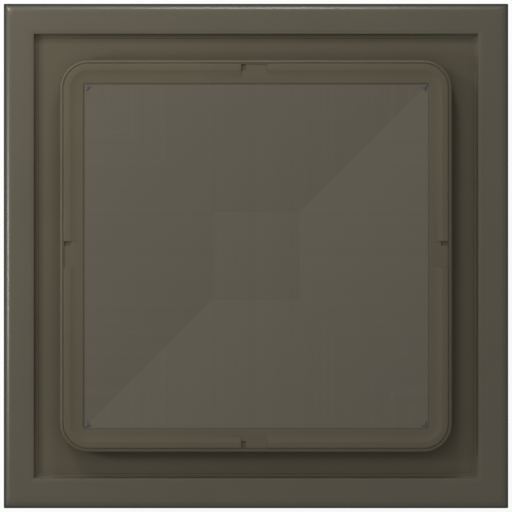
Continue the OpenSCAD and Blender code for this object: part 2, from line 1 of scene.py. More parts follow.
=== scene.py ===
# %% [markdown]
# # The looks of a roof vent cover
# This cover sits on the roof of a caravan. A push-fit rim hides the screws, a flat field
# carries rain away, and a rounded square lid with a dished pane closes the throat.
# The working parts already exist as an exact frame, in metres, with +Z up and +Y at the hinge.
# The surfaces made below take their main sizes and places from that frame's nodes. Small
# details, such as the width of a lip, have numbers of their own, and many of them are estimates.
# %% Load the frame
import json
import math
import bmesh
import bpy
import numpy as np
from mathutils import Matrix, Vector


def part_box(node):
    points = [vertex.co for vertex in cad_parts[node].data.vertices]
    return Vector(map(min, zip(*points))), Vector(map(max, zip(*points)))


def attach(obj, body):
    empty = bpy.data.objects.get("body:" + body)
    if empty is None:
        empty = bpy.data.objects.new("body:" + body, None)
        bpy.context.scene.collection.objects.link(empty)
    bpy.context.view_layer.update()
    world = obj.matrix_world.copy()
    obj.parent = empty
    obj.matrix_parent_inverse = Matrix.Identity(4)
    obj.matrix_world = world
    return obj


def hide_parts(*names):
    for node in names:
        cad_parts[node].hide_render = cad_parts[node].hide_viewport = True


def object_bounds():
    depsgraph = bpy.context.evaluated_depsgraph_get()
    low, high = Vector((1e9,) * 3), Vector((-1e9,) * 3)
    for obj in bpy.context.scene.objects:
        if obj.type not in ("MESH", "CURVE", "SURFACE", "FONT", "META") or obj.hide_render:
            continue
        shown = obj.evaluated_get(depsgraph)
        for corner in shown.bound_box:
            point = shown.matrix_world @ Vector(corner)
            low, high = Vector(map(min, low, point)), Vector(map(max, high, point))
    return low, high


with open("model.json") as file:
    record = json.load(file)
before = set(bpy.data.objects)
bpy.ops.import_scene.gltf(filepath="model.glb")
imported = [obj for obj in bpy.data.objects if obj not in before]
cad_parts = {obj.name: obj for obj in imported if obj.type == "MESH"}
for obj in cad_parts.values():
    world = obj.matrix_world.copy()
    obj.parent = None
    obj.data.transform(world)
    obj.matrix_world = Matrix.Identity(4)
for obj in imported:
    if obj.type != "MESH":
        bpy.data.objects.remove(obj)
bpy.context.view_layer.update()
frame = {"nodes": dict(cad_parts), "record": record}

# %% [markdown]
# A few heights and half-widths drive everything else. They are read from the frame's own
# boxes: the rim gives the outer size, the clips stand on the field, and the lid and the pane
# give their own levels. The rim's width and the deck's depth are given here as numbers.
# %% Read the driving sizes
MM = 0.001


def half_and_levels(node):
    """Half-width along X, lowest height and highest height of a node's box."""
    low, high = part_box(node)
    return high.x, low.z, high.z


rim_half, rim_foot, rim_top = half_and_levels("rim_trim")
lid_half, lid_foot, lid_top = half_and_levels("lid_frame")
pane_half, pane_low, pane_edge = half_and_levels("lid_pane")
field_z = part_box("trim_clips")[0].z
throat_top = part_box("base_frame")[1].z
rim_in = rim_half - 27.4 * MM
deck_z = lid_top - 2.0 * MM
print(f"rim {rim_half / MM:.1f}, lid {lid_half / MM:.1f}, pane {pane_half / MM:.1f} mm from the centre")
print(f"field {field_z / MM:.1f}, rim top {rim_top / MM:.1f}, lid top {lid_top / MM:.1f} mm high")

# %% [markdown]
# Most of this object is a profile carried round a square with rounded corners. The corner
# radius may differ along the profile, so one surface can go from a nearly sharp outer edge to
# a softer inner one. Two parameters describe it: the station along the path and the point of
# the profile. Working in whole arrays keeps it quick and makes the rule easy to read.
# %% Carry a profile round a rounded square


def square_path(half, corner, along, turns=10):
    """Points of rounded squares, one column for each profile point.

    On a side the point is (half, s) for each distance s in along. In a corner it is
    (half - corner) + corner * (cos a, sin a) for a from 0 to 90 degrees. The side and corner
    are then turned by 0, 90, 180 and 270 degrees. Also returns s, and infinity in corners.
    """
    half = np.atleast_1d(half)
    corner = np.broadcast_to(corner, half.shape)
    s = np.asarray(along, float)
    a = np.radians(np.linspace(0, 90, turns + 1))[:, None]
    inner = half - corner
    side_x = np.repeat(half[None, :], len(s), axis=0)
    side_y = np.repeat(s[:, None], len(half), axis=1)
    x = np.vstack([side_x, inner + corner * np.cos(a)])
    y = np.vstack([side_y, inner + corner * np.sin(a)])
    rows = []
    for quarter in range(4):
        c, d = round(math.cos(quarter * math.pi / 2)), round(math.sin(quarter * math.pi / 2))
        rows.append(np.stack([c * x - d * y, d * x + c * y], axis=-1))
    reach = np.tile(np.concatenate([s, np.full(turns + 1, np.inf)]), 4)
    side = np.repeat(np.arange(4), len(s) + turns + 1)
    return np.concatenate(rows), reach, side


def carry(half, corner, height, along, turns=10):
    """Grid of points of a closed profile: the path in X and Y, and its height in Z."""
    flat, _, _ = square_path(half, corner, along, turns)
    z = np.broadcast_to(height, flat.shape[:2])
    return np.concatenate([flat, z[..., None]], axis=-1)


def arc(centre, radius, start, stop, steps=8):
    """Profile points on an arc: centre + radius * (cos a, sin a), a in degrees."""
    a = np.radians(np.linspace(start, stop, steps + 1))
    return np.stack([centre[0] + radius * np.cos(a), centre[1] + radius * np.sin(a)], axis=1)


print("a path with 5 stations a side has", len(square_path(1.0, 0.1, np.linspace(-0.8, 0.8, 5))[0]), "points")

# %% [markdown]
# A grid of points becomes a mesh by joining each cell's four corners. A profile that comes
# back to its start wraps in both directions, like a ring, and has no open edge. Flat areas
# meet rounded ones here, so edges sharper than an angle are marked sharp and the rest is smooth.
# %% Turn grids into meshes


def grid_faces(rows, columns, wrap_rows=True, wrap_columns=True):
    """Quads (i, j), (i+1, j), (i+1, j+1), (i, j+1), with the index taken round where it wraps."""
    i = np.arange(rows if wrap_rows else rows - 1)
    j = np.arange(columns if wrap_columns else columns - 1)
    i, j = np.meshgrid(i, j, indexing="ij")
    k, m = (i + 1) % rows, (j + 1) % columns
    quads = np.stack([i * columns + j, k * columns + j, k * columns + m, i * columns + m], axis=-1)
    return quads.reshape(-1, 4)


def put_in(name, points, faces, sharp=30):
    """Makes an object at the origin from points and faces, merges doubles and turns faces out."""
    mesh = bpy.data.meshes.new(name)
    mesh.from_pydata(np.asarray(points).reshape(-1, 3).tolist(), [], [list(f) for f in faces])
    shape = bmesh.new()
    shape.from_mesh(mesh)
    bmesh.ops.remove_doubles(shape, verts=shape.verts, dist=1e-6)
    bmesh.ops.recalc_face_normals(shape, faces=shape.faces)
    shape.to_mesh(mesh)
    shape.free()
    mesh.polygons.foreach_set("use_smooth", np.ones(len(mesh.polygons), bool))
    mesh.set_sharp_from_angle(angle=math.radians(sharp))
    thing = bpy.data.objects.new(name, mesh)
    bpy.context.scene.collection.objects.link(thing)
    return thing


def ring_piece(name, grid, sharp=30):
    """A closed ring from a grid that wraps both ways."""
    thing = put_in(name, grid, grid_faces(*grid.shape[:2]), sharp)
    print(f"{name}: {len(thing.data.polygons)} faces")
    return thing


def dress(piece, material, body, slot, *replaced):
    """Gives a piece its material and body, and hides the nodes that it stands for."""
    piece.data.materials.clear()
    piece.data.materials.append(material)
    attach(piece, body)
    if replaced:
        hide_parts(*replaced)
    return piece


# %% [markdown]
# ## Finishes
# The roof side is taken for one dark olive-bronze plastic with a satin skin. Its grain, far
# smaller than a millimetre, and a very slight clouding of its colour are guesses at how such a
# skin looks close up. Both come from noise on Object coordinates, which stay put on the piece.
# Constant numbers are typed straight into the shader's sockets.
# %% Helpers for node materials


def new_finish(name, colour, roughness, metallic=0.0, specular=0.5):
    """A material with one Principled shader. Returns it with its tree, shader and coordinates."""
    material = bpy.data.materials.new(name)
    material.use_nodes = True
    tree = material.node_tree
    shader = tree.nodes["Principled BSDF"]
    shader.inputs["Base Color"].default_value = (*colour, 1.0)
    shader.inputs["Roughness"].default_value = roughness
    shader.inputs["Metallic"].default_value = metallic
    shader.inputs["Specular IOR Level"].default_value = specular
    place = tree.nodes.new("ShaderNodeTexCoord")
    return material, tree, shader, place.outputs["Object"]


def add_node(tree, kind, **settings):
    """Adds a node, sets its properties, and sets inputs whose names are given in a dict."""
    node = tree.nodes.new(kind)
    for key, value in settings.pop("inputs", {}).items():
        node.inputs[key].default_value = value
    for key, value in settings.items():
        setattr(node, key, value)
    return node


def noise(tree, vector, scale, detail=2.0, roughness=0.5):
    """Noise with a given number of blobs a metre, read at a vector."""
    node = add_node(tree, "ShaderNodeTexNoise",
                    inputs={"Scale": scale, "Detail": detail, "Roughness": roughness})
    tree.links.new(vector, node.inputs["Vector"])
    return node.outputs["Fac"]


def tones(tree, value, low, high, dark, light):
    """A ramp from a dark to a light colour as the value goes from low to high."""
    ramp = add_node(tree, "ShaderNodeValToRGB")
    ramp.color_ramp.elements[0].position = low
    ramp.color_ramp.elements[1].position = high
    ramp.color_ramp.elements[0].color = (*dark, 1.0)
    ramp.color_ramp.elements[1].color = (*light, 1.0)
    tree.links.new(value, ramp.inputs["Fac"])
    return ramp.outputs["Color"]


def bump(tree, shader, height, strength, depth):
    """Tilts the surface by a height pattern that is depth metres tall."""
    node = add_node(tree, "ShaderNodeBump", inputs={"Strength": strength, "Distance": depth})
    tree.links.new(height, node.inputs["Height"])
    tree.links.new(node.outputs["Normal"], shader.inputs["Normal"])


def spread(tree, value, low, high):
    """Maps a value from 0..1 to low..high."""
    node = add_node(tree, "ShaderNodeMapRange", inputs={"To Min": low, "To Max": high})
    tree.links.new(value, node.inputs["Value"])
    return node.outputs["Result"]


def shade(colour, factor):
    """The colour with each channel times a factor."""
    return tuple(channel * factor for channel in colour)


print("helpers take a material's tree and return the socket that they made")

# %% [markdown]
# The plastics share one recipe and differ in colour, roughness and specular level. Those of the
# roof side were tuned by comparing renders, because nobody has measured this plastic. The rim,
# field and lid are one plastic, so their different colours are painted shade: the rim's copy is
# darker and the field's a little darker than the lid's. Their specular level is under the usual
# 0.5, since they mirror a white studio all round.
# %% Moulded plastics


def moulded(name, colour, roughness, mottle=0.04, grain=900.0, specular=0.5):
    """Plastic with cloudy pigment, a grain below a millimetre and patchy gloss."""
    material, tree, shader, where = new_finish(name, colour, roughness, specular=specular)
    cloud = noise(tree, where, 14.0, detail=4.0)
    tint = tones(tree, cloud, 0.3, 0.7, shade(colour, 1 - mottle), shade(colour, 1 + mottle))
    tree.links.new(tint, shader.inputs["Base Color"])
    patches = spread(tree, noise(tree, where, 45.0, detail=3.0), roughness - 0.04, roughness + 0.04)
    tree.links.new(patches, shader.inputs["Roughness"])
    bump(tree, shader, noise(tree, where, grain, detail=2.0), 0.25, 0.00004)
    return material


BRONZE = (0.070, 0.060, 0.036)
# The factors 0.85 for the rim and 0.98 for the field are painted shade on the lid's plastic.
rim_bronze = moulded("satin bronze rim", shade(BRONZE, 0.85), 0.33, specular=0.42)
field_bronze = moulded("satin bronze field", shade(BRONZE, 0.98), 0.55, specular=0.25)
lid_bronze = moulded("satin bronze lid", shade(BRONZE, 1.0), 0.50, specular=0.25)
off_white = moulded("off-white ceiling plastic", (0.70, 0.68, 0.62), 0.45, mottle=0.015)
knob_white = moulded("off-white knob plastic", (0.62, 0.60, 0.54), 0.38, mottle=0.02)
black_nylon = moulded("black clip nylon", (0.025, 0.025, 0.024), 0.5, mottle=0.1)
dark_clip = moulded("dark bronze clip", (0.034, 0.030, 0.022), 0.5, mottle=0.1)
plain_nylon = moulded("natural nylon", (0.72, 0.69, 0.60), 0.36, mottle=0.03, grain=400.0)
print("materials after the plastics:", len(bpy.data.materials))

# %% [markdown]
# Seen from straight above, the rim's side is nearly edge on, and plastic at that angle mirrors
# the pale studio as a bright outline. So over the last millimetres before the edge the colour
# is darkened as painted shade, and the specular level fades out with it. This is a choice for
# the view from above. It isn't a known property of such a rim, and it makes the rim's side look
# nearly black from other angles.
# %% Painted shade on the rim's side

# Width and darkest tone of the painted shade on the rim's side.
SIDE_SHADE_WIDTH = 3.0 * MM
SIDE_SHADE_TONE = 0.03


def paint_shade_on_side(material, outer, width, tone):
    """Paints shade on the side: times colour and specular by a factor from 1 to tone over a width at the
    edge.
    """
    tree = material.node_tree
    shader = tree.nodes["Principled BSDF"]
    split = add_node(tree, "ShaderNodeSeparateXYZ")
    tree.links.new(add_node(tree, "ShaderNodeTexCoord").outputs["Object"], split.inputs["Vector"])
    away = []
    for axis in ("X", "Y"):
        size = add_node(tree, "ShaderNodeMath", operation="ABSOLUTE")
        tree.links.new(split.outputs[axis], size.inputs[0])
        away.append(size.outputs["Value"])
    larger = add_node(tree, "ShaderNodeMath", operation="MAXIMUM")
    tree.links.new(away[0], larger.inputs[0])
    tree.links.new(away[1], larger.inputs[1])
    factor = add_node(tree, "ShaderNodeMapRange", interpolation_type="SMOOTHSTEP",
                      inputs={"From Min": outer - width, "From Max": outer, "To Min": 1.0, "To Max": tone})
    tree.links.new(larger.outputs["Value"], factor.inputs["Value"])
    # The base colour is scaled down towards the edge here: painted shade.
    darker = add_node(tree, "ShaderNodeVectorMath", operation="SCALE")
    tree.links.new(shader.inputs["Base Color"].links[0].from_socket, darker.inputs[0])
    tree.links.new(factor.outputs["Result"], darker.inputs["Scale"])
    tree.links.new(darker.outputs["Vector"], shader.inputs["Base Color"])
    level = add_node(tree, "ShaderNodeMath", operation="MULTIPLY")
    level.inputs[1].default_value = shader.inputs["Specular IOR Level"].default_value
    tree.links.new(factor.outputs["Result"], level.inputs[0])
    tree.links.new(level.outputs["Value"], shader.inputs["Specular IOR Level"])


# Painted shade: the rim's colour darkens over its last millimetres.
paint_shade_on_side(rim_bronze, rim_half, SIDE_SHADE_WIDTH, SIDE_SHADE_TONE)
print(rim_bronze.name, "has", len(rim_bronze.node_tree.nodes), "nodes")

# %% [markdown]
# The pane is taken for a smoked sheet. Drawn sheet keeps very faint lines from the rollers.
# Here they run square to the nearest edge, so they meet in nested corners along the creases.
# The line pattern is noise of a single distance: x in the front, rear and middle, y at the sides.
# The facets' own slope is too small to tell them apart, so a bump that rises with the distance
# from the middle leans their shading further. It changes no shape.
# %% Smoked sheet with draw lines


def lined_sheet(name, colour, roughness, flat_half):
    """Sheet with faint lines: a tone and a gloss that depend on one coordinate in each facet."""
    material, tree, shader, where = new_finish(name, colour, roughness, specular=0.25)
    split = add_node(tree, "ShaderNodeSeparateXYZ")
    tree.links.new(where, split.inputs["Vector"])

    def maths(operation, *values):
        node = add_node(tree, "ShaderNodeMath", operation=operation)
        for slot, value in enumerate(values):
            if isinstance(value, float):
                node.inputs[slot].default_value = value
            else:
                tree.links.new(value, node.inputs[slot])
        return node.outputs["Value"]

    x, y = split.outputs["X"], split.outputs["Y"]
    away_x, away_y = maths("ABSOLUTE", x), maths("ABSOLUTE", y)
    at_sides = maths("MULTIPLY", maths("GREATER_THAN", away_x, away_y),
                     maths("GREATER_THAN", away_x, flat_half))
    turned = maths("MULTIPLY", maths("MULTIPLY", y, -1.0), at_sides)
    kept = maths("MULTIPLY", x, maths("SUBTRACT", 1.0, at_sides))
    across = maths("ADD", turned, kept)

    def lines(per_metre, detail):
        node = add_node(tree, "ShaderNodeTexNoise", noise_dimensions="1D",
                        inputs={"Scale": per_metre, "Detail": detail, "Roughness": 0.7})
        tree.links.new(across, node.inputs["W"])
        return node.outputs["Fac"]

    tint = tones(tree, lines(110.0, 5.0), 0.3, 0.7, shade(colour, 0.96), shade(colour, 1.04))
    tree.links.new(tint, shader.inputs["Base Color"])
    tree.links.new(spread(tree, lines(260.0, 3.0), roughness - 0.03, roughness + 0.03),
                   shader.inputs["Roughness"])
    reach = maths("MULTIPLY", maths("SUBTRACT", maths("MAXIMUM", away_x, away_y), flat_half), FACET_LEAN)
    relief = maths("ADD", maths("MAXIMUM", reach, 0.0), maths("MULTIPLY", lines(160.0, 4.0), 0.000004))
    bump(tree, shader, relief, 1.0, 1.0)
    return material


FACET_LEAN = 0.055
PANE_FLAT = 40.0 * MM
smoked = lined_sheet("smoked pane sheet", (0.086, 0.077, 0.056), 0.42, PANE_FLAT)
print(smoked.name, "has", len(smoked.node_tree.nodes), "nodes")

# %% [markdown]
# These parts are hidden in the main view, so their finishes are guesses. Metal parts are taken
# to be zinc-coated or stainless. Rolled sheet shows fine lines along its length and turned parts
# show rings, so both get noise that is stretched one way. Rubber and butyl are dark and dull,
# and rubber often has a bloom that makes patches a little paler.
# %% Metals, rubber and mesh


def drawn_metal(name, colour, roughness, stretch=(6.0, 900.0, 900.0)):
    """Metal with lines along one axis: noise whose scale is low along it and high across it."""
    material, tree, shader, where = new_finish(name, colour, roughness, metallic=1.0)
    along = add_node(tree, "ShaderNodeMapping")
    along.inputs["Scale"].default_value = stretch
    tree.links.new(where, along.inputs["Vector"])
    line = noise(tree, along.outputs["Vector"], 1.0, detail=3.0)
    cloud = noise(tree, where, 60.0, detail=3.0)
    tint = tones(tree, cloud, 0.25, 0.75, shade(colour, 0.86), colour)
    tree.links.new(tint, shader.inputs["Base Color"])
    tree.links.new(spread(tree, line, roughness - 0.08, roughness + 0.10), shader.inputs["Roughness"])
    bump(tree, shader, line, 0.15, 0.00002)
    return material


def spangled(name, colour, roughness):
    """Galvanised sheet: zinc crystals as cells of slightly different tone and gloss."""
    material, tree, shader, where = new_finish(name, colour, roughness, metallic=1.0)
    cells = add_node(tree, "ShaderNodeTexVoronoi", inputs={"Scale": 260.0})
    tree.links.new(where, cells.inputs["Vector"])
    tint = tones(tree, cells.outputs["Color"], 0.0, 1.0, shade(colour, 0.82), colour)
    tree.links.new(tint, shader.inputs["Base Color"])
    tree.links.new(spread(tree, cells.outputs["Color"], roughness - 0.06, roughness + 0.1),
                   shader.inputs["Roughness"])
    bump(tree, shader, noise(tree, where, 500.0), 0.1, 0.00002)
    return material


def soft_black(name, colour, roughness, bloom):
    """Rubber with a pale bloom in patches and a pebbled skin."""
    material, tree, shader, where = new_finish(name, colour, roughness, specular=0.3)
    cloud = noise(tree, where, 35.0, detail=5.0)
    tint = tones(tree, cloud, 0.4, 0.8, colour, shade(colour, bloom))
    tree.links.new(tint, shader.inputs["Base Color"])
    bump(tree, shader, noise(tree, where, 1200.0), 0.3, 0.00005)
    return material


zinc = drawn_metal("bright zinc", (0.60, 0.60, 0.58), 0.34)
stainless = drawn_metal("brushed stainless", (0.56, 0.55, 0.53), 0.38)
turned = drawn_metal("turned steel", (0.42, 0.42, 0.41), 0.3, stretch=(900.0, 900.0, 40.0))
spring = drawn_metal("oiled spring steel", (0.06, 0.06, 0.065), 0.36)
galvanised = spangled("galvanised sheet", (0.50, 0.51, 0.51), 0.42)
seal_rubber = soft_black("bulb seal rubber", (0.020, 0.020, 0.020), 0.62, 1.9)
butyl = soft_black("butyl tape", (0.030, 0.030, 0.031), 0.5, 1.4)


def woven(name, colour, threads_per_metre):
    """Fly mesh: threads along X and Y, with holes between them cut by transparency."""
    material, tree, shader, where = new_finish(name, colour, 0.6)
    split = add_node(tree, "ShaderNodeSeparateXYZ")
    tree.links.new(where, split.inputs["Vector"])
    threads = []
    for axis in ("X", "Y"):
        count = add_node(tree, "ShaderNodeMath", operation="MULTIPLY")
        count.inputs[1].default_value = threads_per_metre
        tree.links.new(split.outputs[axis], count.inputs[0])
        part = add_node(tree, "ShaderNodeMath", operation="FRACT")
        tree.links.new(count.outputs["Value"], part.inputs[0])
        thin = add_node(tree, "ShaderNodeMath", operation="LESS_THAN")
        thin.inputs[1].default_value = 0.28
        tree.links.new(part.outputs["Value"], thin.inputs[0])
        threads.append(thin.outputs["Value"])
    either = add_node(tree, "ShaderNodeMath", operation="MAXIMUM")
    tree.links.new(threads[0], either.inputs[0])
    tree.links.new(threads[1], either.inputs[1])
    tree.links.new(either.outputs["Value"], shader.inputs["Alpha"])
    tint = tones(tree, threads[0], 0.0, 1.0, shade(colour, 0.7), colour)
    tree.links.new(tint, shader.inputs["Base Color"])
    return material


fly_mesh = woven("woven fly mesh", (0.14, 0.145, 0.15), 600.0)
print("materials with metals, rubbers and mesh:", len(bpy.data.materials))

# %% [markdown]
# ## Roof side
# The rim is a thin hollow moulding. Its outer top edge has a generous round that catches the
# light as one bright line, and that line turns each corner on a small radius while the foot
# stays almost sharp. Its inner edge rolls over gently, by about ten degrees, and then
# drops straight to the field, so it looks soft from above and leaves a fine dark joint.
# %% Rim

RIM_OUTER_ROUND = 7.0 * MM
RIM_INNER_ROUND = 24.0 * MM
RIM_INNER_ROLL = 10.0
RIM_WALL = 2.2 * MM


def strip_profile(inside, outside, foot_in, foot_out, top, round_in, round_out):
    """Inside foot, up to the inner roll, across the top, down the outer round to its foot."""
    roll = round_in * math.sin(math.radians(RIM_INNER_ROLL))
    return np.vstack([[inside, foot_in],
                      arc((inside + roll, top - round_in), round_in, 90 + RIM_INNER_ROLL, 90),
                      arc((outside - round_out, top - round_out), round_out, 90, 0, 12),
                      [outside, foot_out]])


def rim_corner(half):
    """Corner radius: about 1 mm at the foot, growing with the distance in, small inside."""
    inset = rim_half - half
    soft = 1.0 * MM + 0.75 * inset
    return np.where(inset < 12 * MM, soft, np.clip(10 * MM - 0.75 * (inset - 12 * MM), 0.6 * MM, None))


outer_skin = strip_profile(rim_in, rim_half, field_z, rim_foot, rim_top, RIM_INNER_ROUND, RIM_OUTER_ROUND)
inner_skin = strip_profile(rim_in + RIM_WALL, rim_half - RIM_WALL, field_z, rim_foot, rim_top - RIM_WALL,
                           RIM_INNER_ROUND - RIM_WALL, RIM_OUTER_ROUND - RIM_WALL)
rim_profile = np.vstack([outer_skin, inner_skin[::-1]])
side_steps = np.linspace(-0.190, 0.190, 13)
rim = ring_piece("rim_cover", carry(rim_profile[:, 0], rim_corner(rim_profile[:, 0]),
                                    rim_profile[:, 1], side_steps))
dress(rim, rim_bronze, "base", "rim_plastic", "rim_trim")

# %% [markdown]
# Where the rim meets the field, a faint low bead runs round. A hollow curve carries it up the
# rim's wall and softens the joint, as a line of wiped sealant would, which is a guess. One
# height function gives both: a parabola that rises to the wall, and a rounded fall to the field.
# %% Bead and wiped joint round the field

JOINT_IN = 198.15 * MM
JOINT_TOP = 199.9 * MM
JOINT_OUT = rim_in - 0.05 * MM
BEAD_HEIGHT = 0.6 * MM
WIPED_RISE = 1.6 * MM
across_joint = np.linspace(JOINT_IN, JOINT_OUT, 18)
to_wall = np.clip((across_joint - JOINT_TOP) / (JOINT_OUT - JOINT_TOP), 0, 1)
to_field = np.clip((JOINT_TOP - across_joint) / (JOINT_TOP - JOINT_IN), 0, 1)
joint_z = field_z + BEAD_HEIGHT * np.sqrt(1 - to_field ** 3) + WIPED_RISE * to_wall ** 2
joint_under = [[JOINT_OUT, field_z - 0.3 * MM], [JOINT_IN, field_z - 0.3 * MM]]
joint_profile = np.vstack([np.stack([across_joint, joint_z], axis=1), joint_under])
bead = ring_piece("field_bead", carry(joint_profile[:, 0], 1.0 * MM, joint_profile[:, 1], side_steps), 60)
dress(bead, field_bronze, "base", "field_plastic")

# %% [markdown]
# ## Lid
# From the outside in, the lid has a rolled lip, a fine groove, a flat rib, and a shallow cove
# that falls away from the rib and ends in a small step at the pane. The rib stops near the
# middle of each side, taken to be so that water drains, and a small pit ends each gap. That
# makes the height a function of both parameters: the profile gives it along the rib, and the
# distance along the side lowers it.
# %% Lid frame

SKIRT = 2.5 * MM
LIP = 2.5 * MM
GROOVE = 1.1 * MM
RIB = 5.7 * MM
LIP_HEIGHT = 1.4 * MM
RIB_GAP = 24.0 * MM
GAP_SHIFT = 1.6 * MM
PIT = 4.0 * MM
PIT_DEPTH = 1.2 * MM
LID_CORNER = 26.0 * MM
DECK = 2.4 * MM
LEDGE_IN = 151.0 * MM
COVE_FALL = 1.05 * MM
COVE_STEP = 0.25 * MM

opening = pane_half + 0.05 * MM
groove_out = lid_half - LIP
rib_out = groove_out - GROOVE
rib_in = rib_out - RIB
cove_in = rib_in - 8.0 * MM
lip_z = deck_z + LIP_HEIGHT
ledge_low = lid_top - 7.2 * MM
ledge_top = ledge_low + 1.8 * MM


def smooth_step(value, start, stop):
    """0 before start and 1 after stop, with the curve 3t^2 - 2t^3 between."""
    t = np.clip((value - start) / (stop - start), 0, 1)
    return t * t * (3 - 2 * t)


def cove_height(half):
    """Falls from the rib's top on a parabola, then runs almost level to a step at the pane."""
    t = np.clip((half - cove_in) / (rib_in - cove_in), 0, 1)
    run = np.clip((cove_in - half) / (cove_in - opening), 0, 1)
    return lid_top - COVE_FALL * (1 - t * t) - COVE_STEP * run


def lid_profile():
    """Half-widths and heights of the lid's closed profile, and where its rib and cove are."""
    lip_round = 1.9 * MM
    outside = np.vstack([[lid_half - 0.6 * MM, lid_foot], [lid_half, lid_foot + 0.6 * MM],
                         arc((lid_half - lip_round, lip_z - lip_round), lip_round, 0, 90, 8),
                         [groove_out + 0.1 * MM, lip_z - 0.1 * MM]])
    groove = arc(((groove_out + rib_out) / 2, lid_top - 0.4 * MM), GROOVE / 2, 0, -180, 8)
    rib_round = 0.5 * MM
    rib = np.vstack([arc((rib_out - rib_round, lid_top - rib_round), rib_round, 0, 90, 5),
                     [rib_in + 1.0 * MM, lid_top]])
    cove = np.linspace(rib_in, cove_in, 14)
    fall = np.linspace(cove_in, opening, 4)[1:]
    slope = np.concatenate([cove, fall])
    inside = np.vstack([np.stack([slope, cove_height(slope)], axis=1),
                        [opening, ledge_top], [LEDGE_IN, ledge_top], [LEDGE_IN, ledge_low],
                        [opening + 2 * MM, ledge_low], [opening + 2 * MM, deck_z - DECK],
                        [lid_half - SKIRT, deck_z - DECK], [lid_half - SKIRT, lid_foot]])
    parts = [outside, groove, rib, inside]
    kind = np.concatenate([np.full(len(part), i) for i, part in enumerate(parts)])
    kind[len(outside) + len(groove) + len(rib) + len(slope):] = 0
    points = np.vstack(parts)
    return points[:, 0], points[:, 1], kind


def lid_corner(half):
    """Concentric corners: the lid's radius less the inset, sharp from the pane's opening in."""
    rounded = np.clip(LID_CORNER - (lid_half - half), 5 * MM, None)
    return np.where(half > opening + 0.5 * MM, rounded, 0.4 * MM)


gap_start = GAP_SHIFT - RIB_GAP / 2
gap_end = GAP_SHIFT + RIB_GAP / 2
edge = 0.3 * MM
rib_steps = [gap_start - edge, gap_start, gap_start + edge, gap_end - PIT - edge, gap_end - PIT,
             gap_end - edge, gap_end]
side_ends = [-0.147, -0.12, -0.08, -0.04, 0.0, 0.04, 0.08, 0.12, 0.147]
forward = np.array(sorted(rib_steps + side_ends))
lid_steps = np.array(sorted(set(np.round(np.concatenate([forward, -forward]), 7).tolist())))
halves, heights, kind = lid_profile()
flat, along, side = square_path(halves, lid_corner(halves), lid_steps, 16)
toward = np.where(side < 2, 1.0, -1.0) * np.where(np.isfinite(along), along, 1.0)
before_end = 1 - smooth_step(toward, gap_end - edge, gap_end)
in_gap = smooth_step(toward, gap_start - edge, gap_start) * before_end
in_pit = smooth_step(toward, gap_end - PIT - edge, gap_end - PIT) * before_end
gap_floor = np.minimum(heights, lid_top - COVE_FALL)
pit_floor = np.where(halves > rib_in - 0.6 * MM, gap_floor - PIT_DEPTH, gap_floor)
lowered = gap_floor * (1 - in_pit[:, None]) + pit_floor * in_pit[:, None]
movable = (kind == 2) | (kind == 3)
lid_z = np.where(movable[None, :], heights * (1 - in_gap[:, None]) + lowered * in_gap[:, None], heights)
lid = ring_piece("lid_moulding", np.concatenate([flat, lid_z[..., None]], axis=-1), 28)
dress(lid, lid_bronze, "lid", "lid_plastic", "lid_frame")

# %% [markdown]
# The pane is taken to be pressed from sheet. Its height depends only on the larger of |x| and |y|, which
# is what makes four flat facets with straight creases: a long gentle fall from the edge and
# a level middle. Grid lines are placed on those breaks, and cells on a crease are split along it.
# %% Pane

PANE_THICK = 2.5 * MM
PANE_BORDER = 151.0 * MM
pane_sink = (pane_edge - pane_low) - PANE_THICK


def pane_drop(reach):
    """Drop below the edge, as an even fall from the edge itself to the level middle."""
    return pane_sink * np.clip((pane_half - reach) / (pane_half - PANE_FLAT), 0, 1)


breaks = np.array([PANE_FLAT, PANE_BORDER, pane_half - 0.3 * MM, pane_half])
fill_in = np.linspace(PANE_FLAT, PANE_BORDER, 10)[1:-1]
positive = np.sort(np.concatenate([breaks, fill_in, [13 * MM, 27 * MM]]))
lines_at = np.concatenate([-positive[::-1], [0.0], positive])
gx, gy = np.meshgrid(lines_at, lines_at, indexing="ij")
reach = np.maximum(np.abs(gx), np.abs(gy))
chamfer = 0.1 * MM * (reach > pane_half - 0.1 * MM)
top = np.stack([gx, gy, pane_edge - pane_drop(reach) - chamfer], axis=-1)
under = np.stack([gx, gy, pane_edge - PANE_THICK - pane_drop(reach)], axis=-1)
n = len(lines_at)
sheet_faces = grid_faces(n, n, False, False)
border = np.concatenate([np.arange(n) * n, (n - 1) * n + np.arange(1, n),
                         np.arange(n - 2, -1, -1) * n + n - 1, np.arange(n - 2, 0, -1)])
skirt_faces = np.stack([border, np.roll(border, -1), np.roll(border, -1) + n * n, border + n * n], axis=1)
pane_faces = np.vstack([sheet_faces, sheet_faces[:, ::-1] + n * n, skirt_faces])


def along_creases(faces, points):
    """Splits the cells on the diagonals into triangles, so that each crease is one straight edge."""
    made = []
    for face in faces.tolist():
        x, y = points[face, 0], points[face, 1]
        mid_x, mid_y = x.mean(), y.mean()
        if abs(abs(mid_x) - abs(mid_y)) > 1e-9:
            made.append(face)
            continue
        on_crease = np.abs(np.abs(x) - np.abs(y)) < 1e-9
        start = int(np.argmax(on_crease))
        a, b, c, d = np.roll(face, -start).tolist()
        made += [[a, b, c], [a, c, d]]
    return made


pane_points = np.concatenate([top.reshape(-1, 3), under.reshape(-1, 3)])
pane = put_in("dished_pane", pane_points, along_creases(pane_faces, pane_points), 0.5)
dress(pane, smoked, "lid", "pane_plastic", "lid_pane")
print("pane sinks", round(pane_sink / MM, 2), "mm with", len(pane.data.polygons), "faces")

# %% [markdown]
# Each corner of the pane is taken to be held by a small three-cornered clip. One outline, a
# triangle with its points cut, is stacked at three levels to soften its top edge, and four
# turned copies are joined into one piece.
# %% Corner clips

